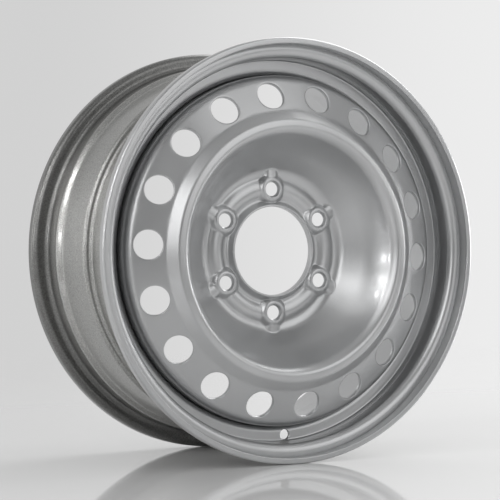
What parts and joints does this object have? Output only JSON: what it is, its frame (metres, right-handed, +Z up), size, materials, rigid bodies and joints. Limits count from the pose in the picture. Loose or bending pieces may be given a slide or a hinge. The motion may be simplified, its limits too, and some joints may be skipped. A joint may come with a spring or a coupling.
{
  "type": "steel wheel rim",
  "caption": "Bare silver-painted steel road wheel: a rolled drop-centre rim with a dished, vented centre disc welded inside, a collared hub bore and tapered lug seats.",
  "frame": {"origin": "wheel centre: on the axle, half way between the two flanges", "axes": "+Y along the axle from the outboard face to the inboard side, +Z up as the wheel stands, +X to the right seen from the outboard face"},
  "size_m": [0.4712, 0.2092, 0.471],
  "materials": {
    "rim_paint": "satin silver metallic paint with a fine grain",
    "disc_paint": "satin silver metallic paint",
    "weld_paint": "satin silver metallic paint over a rippled weld"
  },
  "bodies": {
    "root": {"rim": "rim_paint", "disc": "disc_paint", "weld_beads": "weld_paint"}
  },
  "joints": []
}
